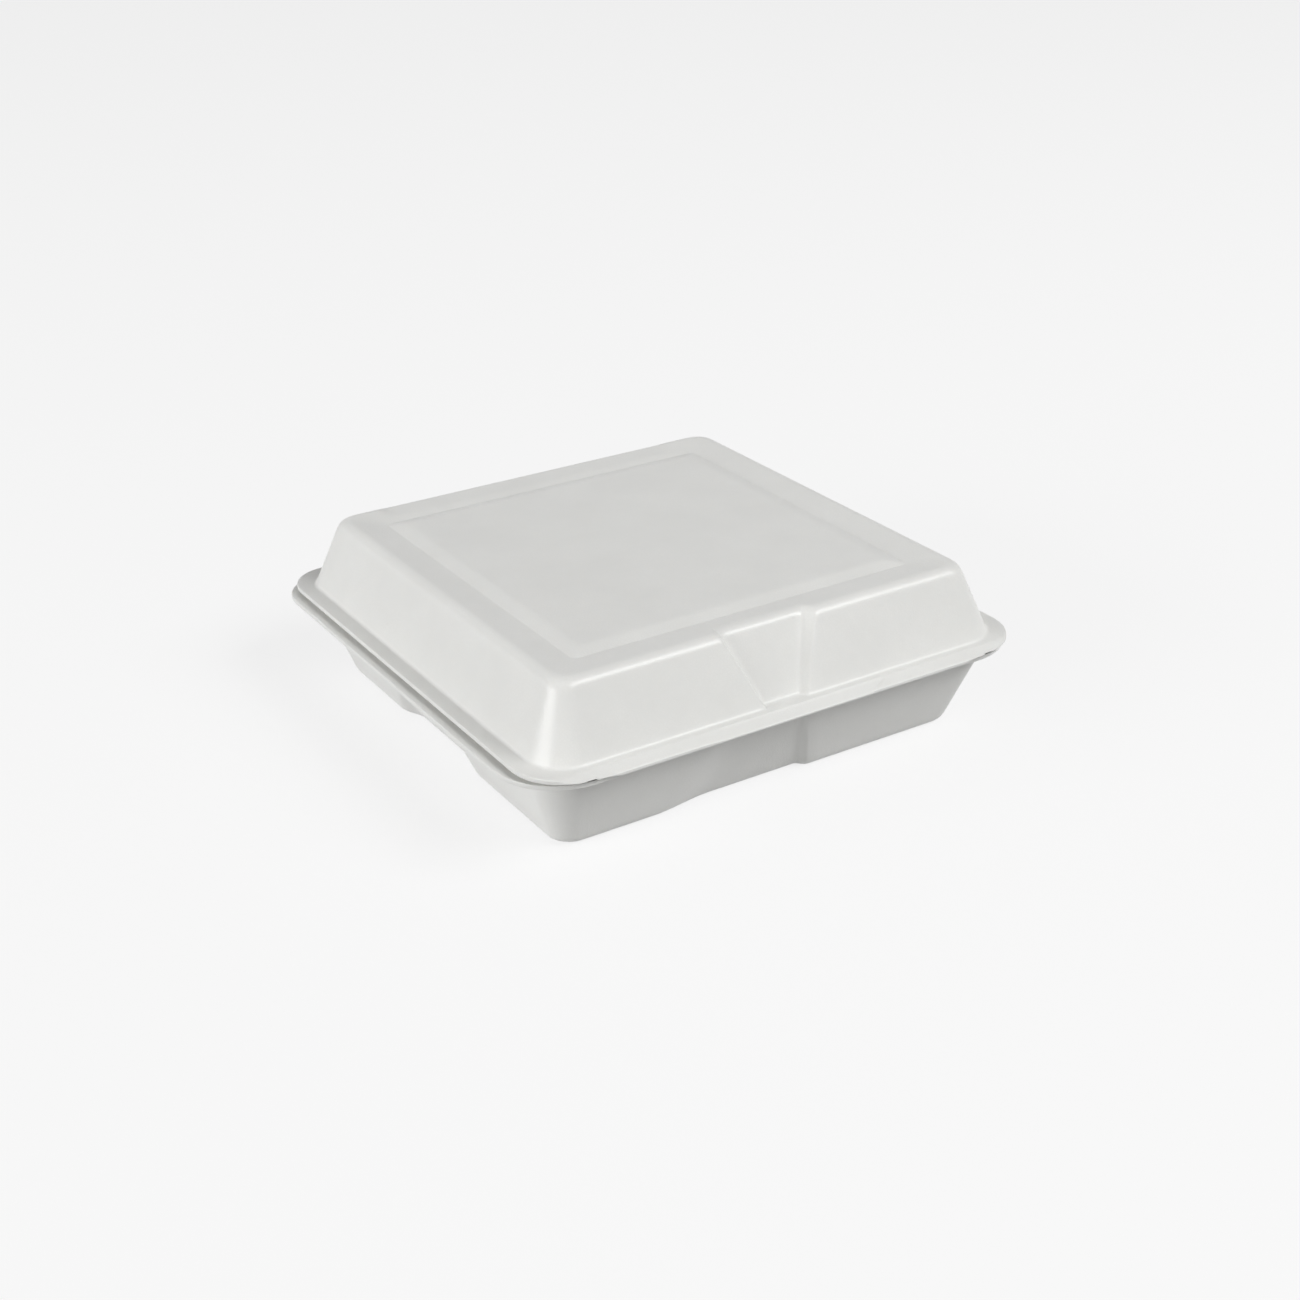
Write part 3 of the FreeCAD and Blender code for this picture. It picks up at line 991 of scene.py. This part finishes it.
    def build(self, foam: bpy.types.Material) -> bpy.types.Object:
        """Makes the tray, dresses it and puts it on its body.

        Args:
            foam: Foam material.

        Returns:
            The tray.
        """
        front = Relief(self.relief_floor, self.relief_rim, 0.0, self.rim, self.relief_depth,
                       self.relief_drafts, self.relief_soft)
        reliefs = {
            Side.FRONT: front,
            Side.RIGHT: self.side_relief(self.side_relief_shift),
            Side.LEFT: self.side_relief(-self.side_relief_shift),
        }
        shell = Shell("foam_tray", self.rings(), reliefs, self.spare_tab, self.spare_tab)
        tray = shell.build(self.settle)
        tray.data.materials.append(foam)
        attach(tray, Half.TRAY.value)
        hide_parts("base_tray")
        return tray

    def settle(self, points: np.ndarray, rows: np.ndarray) -> np.ndarray:
        """Keeps the tray on the ground.

        Args:
            points: Points of all rings.
            rows: Ring values.

        Returns:
            The changed points.
        """
        points[..., 2] = np.maximum(points[..., 2], 0.0)
        return points


# Studio


def direction(azimuth: float, elevation: float) -> Vector:
    """Unit vector from the container towards a place around it, from degrees."""
    a, e = math.radians(azimuth), math.radians(elevation)
    return Vector((math.sin(a) * math.cos(e), -math.cos(a) * math.cos(e), math.sin(e)))


@dataclass(frozen=True)
class Softbox:
    """Square or oblong lamp behind a diffuser.

    Attributes:
        name: Name of the lamp.
        azimuth: Degrees around the container, 0 in front of it and growing to the right.
        elevation: Degrees above the ground.
        wide: Width seen from the container, in degrees.
        tall: Height seen from the container, in degrees.
        level: Brightness of its face, where 1 is a white board in full light.
        distance_m: Distance from the container.
    """

    name: str
    azimuth: float
    elevation: float
    wide: float
    tall: float
    level: float
    distance_m: float = 3.0

    def build(self) -> None:
        """Makes the lamp, facing the container."""
        light = bpy.data.lights.new(self.name, "AREA")
        light.shape = "RECTANGLE"
        light.size = 2.0 * self.distance_m * math.tan(math.radians(self.wide) * 0.5)
        light.size_y = 2.0 * self.distance_m * math.tan(math.radians(self.tall) * 0.5)
        light.energy = self.level * math.pi * light.size * light.size_y
        lamp = bpy.data.objects.new(self.name, light)
        bpy.context.scene.collection.objects.link(lamp)
        towards = direction(self.azimuth, self.elevation)
        lamp.location = towards * self.distance_m
        lamp.rotation_mode = "QUATERNION"
        lamp.rotation_quaternion = (-towards).to_track_quat("-Z", "Y")


@dataclass
class Studio:
    """Floor, lamps, world and camera."""

    floor_half_m: float = 6.0
    azimuth: float = -31.88
    elevation: float = 25.03
    distance_mm: float = 853.45
    target_mm: tuple[float, float, float] = (0.0, 0.0, 36.5)
    focal_px: float = 1968.8
    shift_px: tuple[float, float] = (-8.92, -32.41)
    roll: float = -0.93
    sensor_mm: float = 36.0
    zenith_level: float = 0.05
    horizon_level: float = 0.25
    room_colour: str = "FFFFFF"
    backdrop_colour: str = "F6F6F6"
    softboxes: tuple[Softbox, ...] = (
        Softbox("left_window", azimuth=-87.0, elevation=18.0, wide=40.0, tall=18.0, level=7.2),
        Softbox("right_softbox", azimuth=32.0, elevation=44.0, wide=36.0, tall=22.0, level=8.2),
        Softbox("back_left_fill", azimuth=-125.0, elevation=12.0, wide=60.0, tall=20.0, level=0.8),
    )

    def floor(self) -> bpy.types.Object:
        """Makes the floor.

        Returns:
            The floor.
        """
        half = self.floor_half_m
        mesh = bpy.data.meshes.new("studio_floor")
        square = [(-half, -half, 0), (half, -half, 0), (half, half, 0), (-half, half, 0)]
        mesh.from_pydata(square, [], [(0, 1, 2, 3)])
        floor = bpy.data.objects.new("studio_floor", mesh)
        bpy.context.scene.collection.objects.link(floor)
        mesh.materials.append(StudioBoard().build())
        return floor

    def lamps(self) -> None:
        """Makes the softboxes and the even light of the room."""
        for softbox in self.softboxes:
            softbox.build()
        world = bpy.data.worlds.new("studio_room")
        bpy.context.scene.world = world
        world.use_nodes = True
        tree = world.node_tree
        tree.nodes.clear()
        place = add_node(tree, "ShaderNodeTexCoord").outputs["Generated"]
        height = add_node(tree, "ShaderNodeSeparateXYZ", None, Vector=place).outputs["Z"]
        level = add_node(tree, "ShaderNodeMapRange", None, Value=height, From_Min=0.0, From_Max=1.0,
                         To_Min=self.horizon_level, To_Max=self.zenith_level).outputs["Result"]
        room = add_node(tree, "ShaderNodeBackground", None, Color=linear(self.room_colour), Strength=level)
        seen = add_node(tree, "ShaderNodeBackground", None, Color=linear(self.backdrop_colour), Strength=1.0)
        mixed = add_node(tree, "ShaderNodeMixShader", None, Fac=background_share(tree),
                         in_1=room.outputs["Background"], in_2=seen.outputs["Background"])
        add_node(tree, "ShaderNodeOutputWorld", None, Surface=mixed.outputs["Shader"])

    def camera(self) -> bpy.types.Object:
        """Makes the camera at the photograph's viewing angle.

        Returns:
            The camera, set as the scene's own.
        """
        back = direction(self.azimuth, self.elevation)
        data = bpy.data.cameras.new("photo_camera")
        data.sensor_width = self.sensor_mm
        data.lens = self.focal_px / IMAGE_PIXELS * self.sensor_mm
        data.shift_x = -self.shift_px[0] / IMAGE_PIXELS
        data.shift_y = self.shift_px[1] / IMAGE_PIXELS
        data.clip_start, data.clip_end = 0.05, 50.0
        camera = bpy.data.objects.new("photo_camera", data)
        bpy.context.scene.collection.objects.link(camera)
        camera.location = (Vector(self.target_mm) + back * self.distance_mm) * MM
        camera.rotation_mode = "QUATERNION"
        upright = (-back).to_track_quat("-Z", "Y")
        rolled = Matrix.Rotation(math.radians(self.roll), 3, "Z").to_quaternion()
        camera.rotation_quaternion = upright @ rolled
        bpy.context.scene.camera = camera
        return camera


def corners(box: tuple[Vector, Vector]) -> list[list[float]]:
    """Lowest and highest corner of a box as plain lists."""
    return [[float(v) for v in corner] for corner in box]


def main() -> None:
    """Builds the container and its studio, and reports each piece."""
    logging.basicConfig(level=logging.INFO, format="%(name)s: %(message)s")
    bpy.context.scene.view_settings.view_transform = "Standard"
    foam = FoamSkin().build()
    for half in (TrayHalf(), LidHalf()):
        piece = half.build(foam)
        log.info("%s: %d faces", piece.name, len(piece.data.polygons))
    studio = Studio()
    for piece in (studio.floor(), studio.camera()):
        log.info("%s made", piece.name)
    studio.lamps()


if __name__ == "__main__":
    main()
